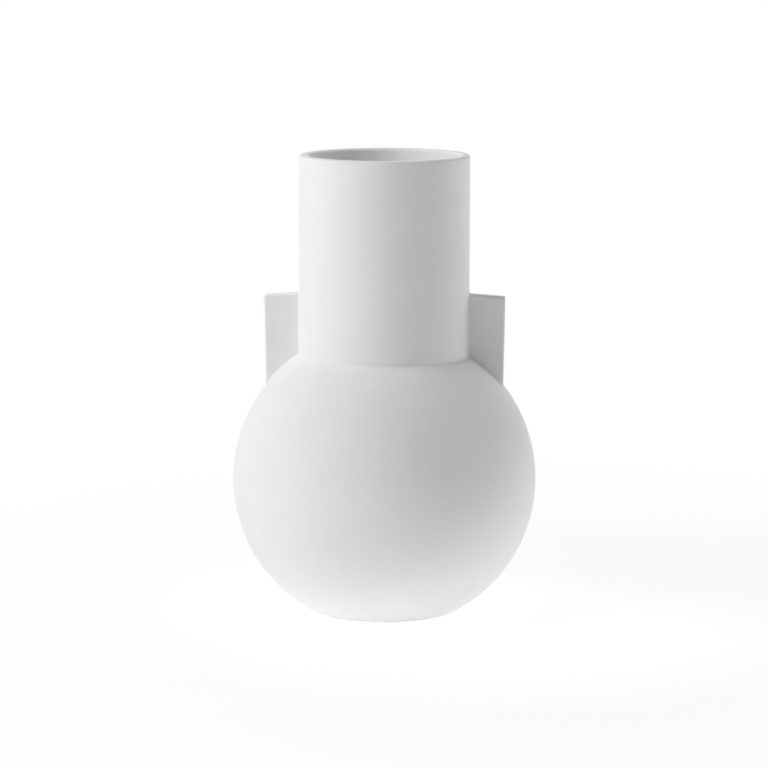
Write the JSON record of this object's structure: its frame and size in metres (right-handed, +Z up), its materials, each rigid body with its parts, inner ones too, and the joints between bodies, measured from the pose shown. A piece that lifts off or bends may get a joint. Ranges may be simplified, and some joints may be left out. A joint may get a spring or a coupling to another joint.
{
  "type": "vase",
  "caption": "Free-standing ceramic vase with a ball body on a flat foot, a straight round neck and a flat ear on each side of it, open at the top for cut flowers.",
  "frame": {"origin": "middle of the foot, on the plane that the vase stands on", "axes": "+Z up the vase's axis, +X through the right ear, -Y the front"},
  "size_m": [0.17, 0.17, 0.2548],
  "materials": {
    "bisque": "matte",
    "slip": "matte",
    "glaze": "satin"
  },
  "bodies": {
    "root": {"lower_bowl": "bisque", "upper_dome": "bisque", "neck_tube": "bisque", "left_ear": "bisque", "right_ear": "bisque", "belly_slip": "slip", "neck_slip": "slip", "left_ear_slip": "slip", "right_ear_slip": "slip", "glaze_lining": "glaze"}
  },
  "joints": []
}
